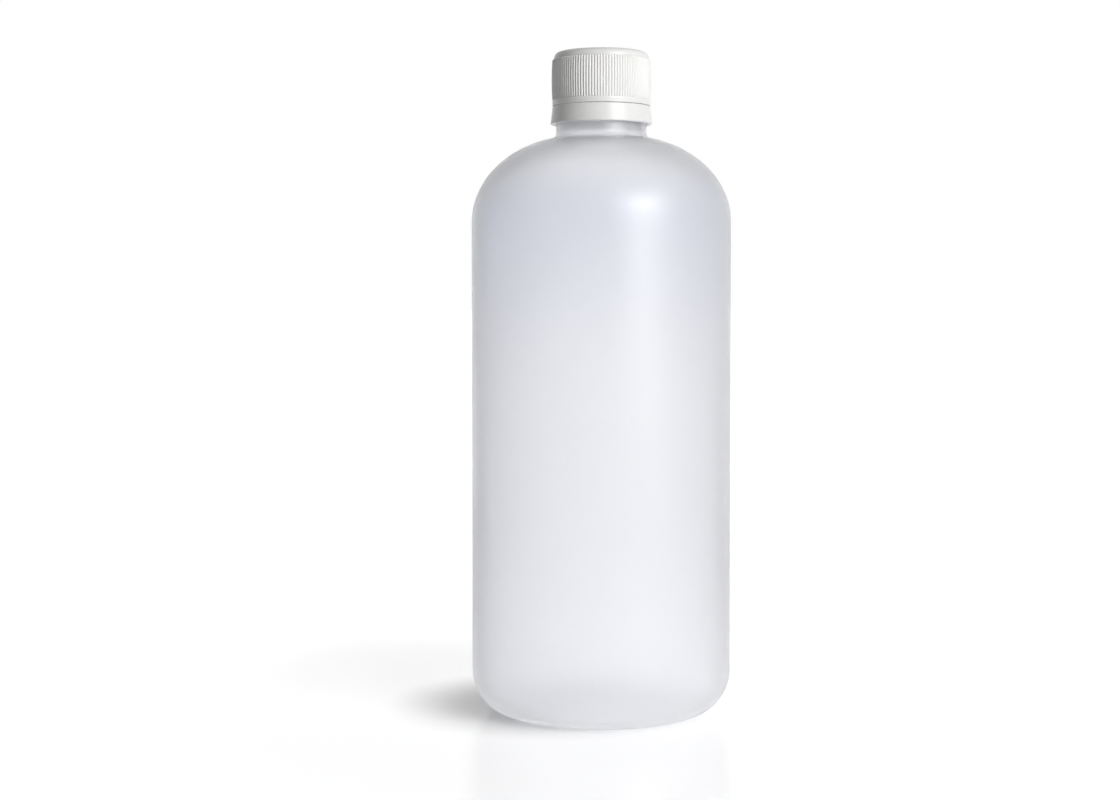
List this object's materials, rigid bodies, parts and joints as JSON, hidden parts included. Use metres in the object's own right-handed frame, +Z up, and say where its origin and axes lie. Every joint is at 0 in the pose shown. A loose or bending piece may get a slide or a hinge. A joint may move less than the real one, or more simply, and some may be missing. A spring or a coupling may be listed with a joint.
{
  "type": "reagent bottle",
  "caption": "Round narrow-neck plastic reagent bottle with a ribbed screw cap, sealing liner and captive tamper ring.",
  "frame": {"origin": "centre of the flat standing ring under the base, on the bottle's axis", "axes": "+Z up along the bottle's axis, from the base to the cap; the mould's parting plane is XZ"},
  "size_m": [0.088, 0.088, 0.2235],
  "materials": {
    "bottle_hdpe": "natural translucent HDPE, blow-moulded, satin with a faint orange-peel surface",
    "cap_pp": "opaque white polypropylene, injection-moulded, semi-gloss",
    "liner_foam": "white expanded polyethylene foam, matt"
  },
  "bodies": {
    "bottle_body": {"bottle": "bottle_hdpe"},
    "liner_body": {"liner": "liner_foam"},
    "cap_body": {"cap": "cap_pp"},
    "ring_body": {"tamper_ring": "cap_pp", "bridges": "cap_pp"}
  },
  "joints": [
    {"name": "cap_rise", "type": "slide", "parent": "bottle_body", "child": "liner_body", "axis": [0, 0, 1], "range_m": [0, 0.024]},
    {"name": "cap_turn", "type": "hinge", "parent": "liner_body", "child": "cap_body", "pos_m": [0, 0, 0.2124], "axis": [0, 0, 1], "range_deg": [0, 2160]},
    {"name": "ring_turn", "type": "hinge", "parent": "bottle_body", "child": "ring_body", "pos_m": [0, 0, 0.202], "axis": [0, 0, 1], "continuous": true}
  ],
  "couplings": [
    {"joint": "cap_rise", "follows": "cap_turn", "m_per_rad": 0.00063662}
  ]
}
